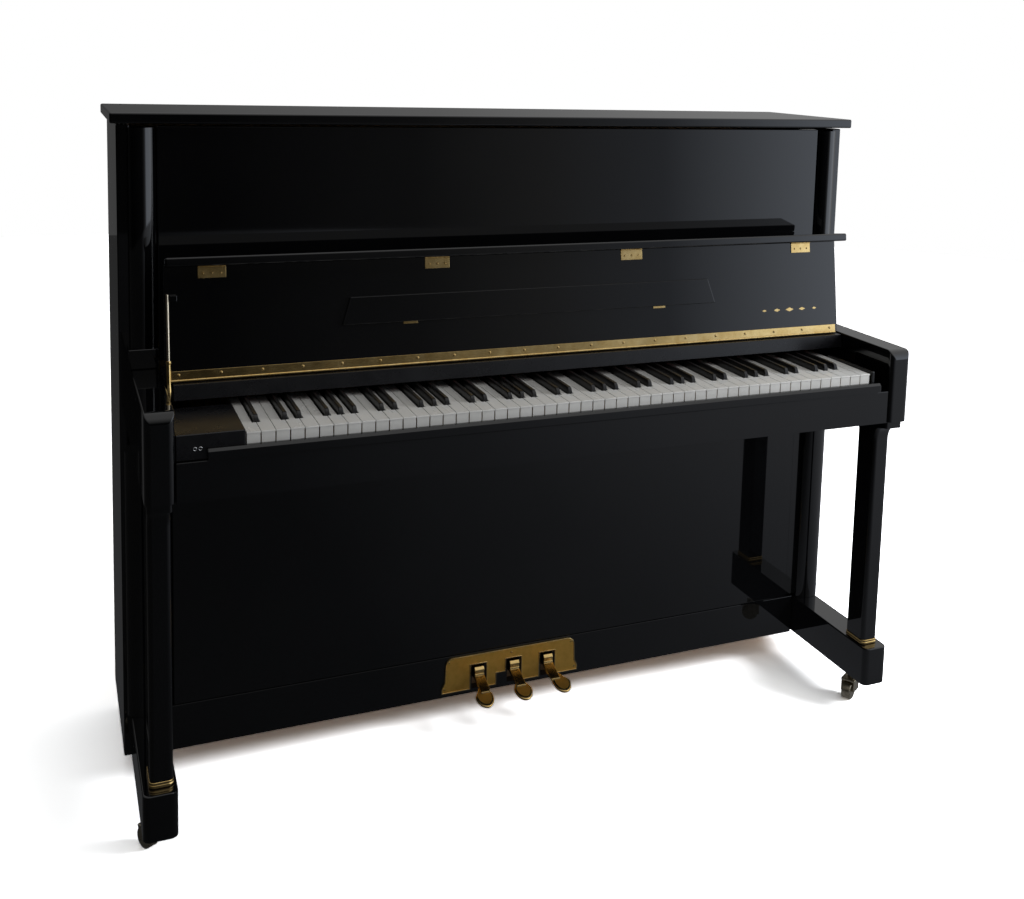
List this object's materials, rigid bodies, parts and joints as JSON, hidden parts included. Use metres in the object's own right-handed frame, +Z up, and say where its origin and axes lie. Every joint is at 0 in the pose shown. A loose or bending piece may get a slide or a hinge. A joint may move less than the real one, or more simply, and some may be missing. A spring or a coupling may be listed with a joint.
{
  "type": "upright piano",
  "caption": "Upright piano with hinged fall, folding lip, fold-out music ledge, sprung pedals, fronted legs on toe blocks and swivel casters.",
  "frame": {"origin": "on the floor, at the centre of the piano's bounding box seen from above", "axes": "+X towards the treble end, +Y from the player to the back, +Z up"},
  "size_m": [1.529, 0.6126, 1.24],
  "materials": {
    "black_lacquer": "high-gloss black polyester lacquer",
    "brass": "polished brass",
    "ivory": "smooth key covering",
    "ebony": "satin black key covering",
    "chrome": "bright",
    "steel_wire": "drawn steel wire",
    "spruce": "clear satin varnish",
    "beech": "plain sanded",
    "hammer_felt": "pressed felt on wood",
    "red_felt": "felt strip",
    "iron": "bronze-gold paint",
    "bracket_black": "satin black"
  },
  "bodies": {
    "case": {"action_rail": "beech", "arm_left": "black_lacquer", "arm_right": "black_lacquer", "back_frame": "spruce", "back_panel_bottom": "beech", "bottom_rail": "black_lacquer", "column_lower_left": "black_lacquer", "column_lower_right": "black_lacquer", "column_upper_left": "black_lacquer", "column_upper_right": "black_lacquer", "hammer_rail": "hammer_felt", "iron_plate": "iron", "key_bed": "black_lacquer", "key_block_left": "black_lacquer", "key_block_right": "black_lacquer", "key_felt": "red_felt", "key_slip": "black_lacquer", "keys_black": "ebony", "keys_white": "ivory", "leg_left": "black_lacquer", "leg_right": "black_lacquer", "leg_ring_left": "brass", "leg_ring_right": "brass", "name_board": "black_lacquer", "panel_lower": "black_lacquer", "panel_upper": "black_lacquer", "pedal_plate": "brass", "pin_block": "beech", "side_panel_left": "black_lacquer", "side_panel_right": "black_lacquer", "soundboard": "spruce", "strings": "steel_wire", "toe_left": "black_lacquer", "toe_right": "black_lacquer"},
    "top_lid": {"top_lid": "black_lacquer"},
    "fall": {"fall": "black_lacquer", "fall_hinge": "brass", "lip_hinge_1": "brass", "lip_hinge_2": "brass", "lip_hinge_3": "brass", "lip_hinge_4": "brass", "damper_bracket": "bracket_black"},
    "lip": {"fall_lip": "black_lacquer"},
    "ledge": {"music_ledge": "black_lacquer"},
    "damper_tube": {"damper_tube": "brass"},
    "damper_rod": {"damper_rod": "chrome"},
    "key_white": {"key_middle_c": "ivory"},
    "key_black": {"key_c_sharp": "ebony"},
    "pedal_left": {"pedal_soft": "brass"},
    "pedal_middle": {"pedal_practice": "brass"},
    "pedal_right": {"pedal_sustain": "brass"},
    "caster_front_left": {"caster_front_left": "brass"},
    "wheel_front_left": {"wheel_front_left": "brass"},
    "caster_front_right": {"caster_front_right": "brass"},
    "wheel_front_right": {"wheel_front_right": "brass"},
    "caster_back_left": {"caster_back_left": "brass"},
    "wheel_back_left": {"wheel_back_left": "brass"},
    "caster_back_right": {"caster_back_right": "brass"},
    "wheel_back_right": {"wheel_back_right": "brass"}
  },
  "joints": [
    {"name": "lid_opens", "type": "hinge", "parent": "case", "child": "top_lid", "pos_m": [0, 0.30625, 1.2212], "axis": [-1, 0, 0], "range_deg": [0, 95]},
    {"name": "fall_closes", "type": "hinge", "parent": "case", "child": "fall", "pos_m": [0, -0.12175, 0.7905], "axis": [-1, 0, 0], "range_deg": [-98, 0]},
    {"name": "lip_folds", "type": "hinge", "parent": "fall", "child": "lip", "pos_m": [0, -0.09593, 0.98228], "axis": [1, 0, 0], "range_deg": [0, 90]},
    {"name": "ledge_folds_out", "type": "hinge", "parent": "fall", "child": "ledge", "pos_m": [0, -0.1142, 0.8667], "axis": [1, 0, 0], "range_deg": [0, 80]},
    {"name": "damper_swings", "type": "hinge", "parent": "case", "child": "damper_tube", "pos_m": [-0.6815, -0.13575, 0.764], "axis": [-1, 0, 0], "range_deg": [-91.68, 0]},
    {"name": "damper_slides", "type": "slide", "parent": "damper_tube", "child": "damper_rod", "axis": [0, 0.1372, 0.9905], "range_m": [-0.04178, 0]},
    {"name": "white_key_dips", "type": "hinge", "parent": "case", "child": "key_white", "pos_m": [0, -0.05675, 0.7221], "axis": [1, 0, 0], "range_deg": [0, 2.6], "stiffness_Nm_per_rad": 1, "springref_deg": -17.19},
    {"name": "black_key_dips", "type": "hinge", "parent": "case", "child": "key_black", "pos_m": [0, -0.07675, 0.7276], "axis": [1, 0, 0], "range_deg": [0, 2.6], "stiffness_Nm_per_rad": 0.6, "springref_deg": -17.19},
    {"name": "pedal_left_dips", "type": "hinge", "parent": "case", "child": "pedal_left", "pos_m": [-0.0745, 0.05825, 0.104], "axis": [1, 0, 0], "range_deg": [0, 6.5], "stiffness_Nm_per_rad": 8, "springref_deg": -11.46},
    {"name": "pedal_middle_dips", "type": "hinge", "parent": "case", "child": "pedal_middle", "pos_m": [0.002, 0.05825, 0.104], "axis": [1, 0, 0], "range_deg": [0, 6.5], "stiffness_Nm_per_rad": 8, "springref_deg": -11.46},
    {"name": "pedal_right_dips", "type": "hinge", "parent": "case", "child": "pedal_right", "pos_m": [0.077, 0.05825, 0.104], "axis": [1, 0, 0], "range_deg": [0, 6.5], "stiffness_Nm_per_rad": 8, "springref_deg": -11.46},
    {"name": "swivel_front_left", "type": "hinge", "parent": "case", "child": "caster_front_left", "pos_m": [-0.72, -0.20175, 0.0645], "axis": [0, 0, 1], "continuous": true},
    {"name": "roll_front_left", "type": "hinge", "parent": "caster_front_left", "child": "wheel_front_left", "pos_m": [-0.72751, -0.18762, 0.019], "axis": [-0.8829, -0.4695, 0], "continuous": true},
    {"name": "swivel_front_right", "type": "hinge", "parent": "case", "child": "caster_front_right", "pos_m": [0.717, -0.20175, 0.0645], "axis": [0, 0, 1], "continuous": true},
    {"name": "roll_front_right", "type": "hinge", "parent": "caster_front_right", "child": "wheel_front_right", "pos_m": [0.70343, -0.21023, 0.019], "axis": [0.5299, -0.848, 0], "continuous": true},
    {"name": "swivel_back_left", "type": "hinge", "parent": "case", "child": "caster_back_left", "pos_m": [-0.715, 0.24325, 0.0605], "axis": [0, 0, 1], "continuous": true},
    {"name": "roll_back_left", "type": "hinge", "parent": "caster_back_left", "child": "wheel_back_left", "pos_m": [-0.71086, 0.25871, 0.019], "axis": [-0.9659, 0.2588, 0], "continuous": true},
    {"name": "swivel_back_right", "type": "hinge", "parent": "case", "child": "caster_back_right", "pos_m": [0.715, 0.24325, 0.0605], "axis": [0, 0, 1], "continuous": true},
    {"name": "roll_back_right", "type": "hinge", "parent": "caster_back_right", "child": "wheel_back_right", "pos_m": [0.71222, 0.25901, 0.019], "axis": [-0.9848, -0.1736, 0], "continuous": true}
  ],
  "couplings": [
    {"joint": "damper_swings", "follows": "fall_closes", "ratio": 0.92535},
    {"joint": "damper_slides", "follows": "fall_closes", "m_per_rad": 0.024079}
  ]
}
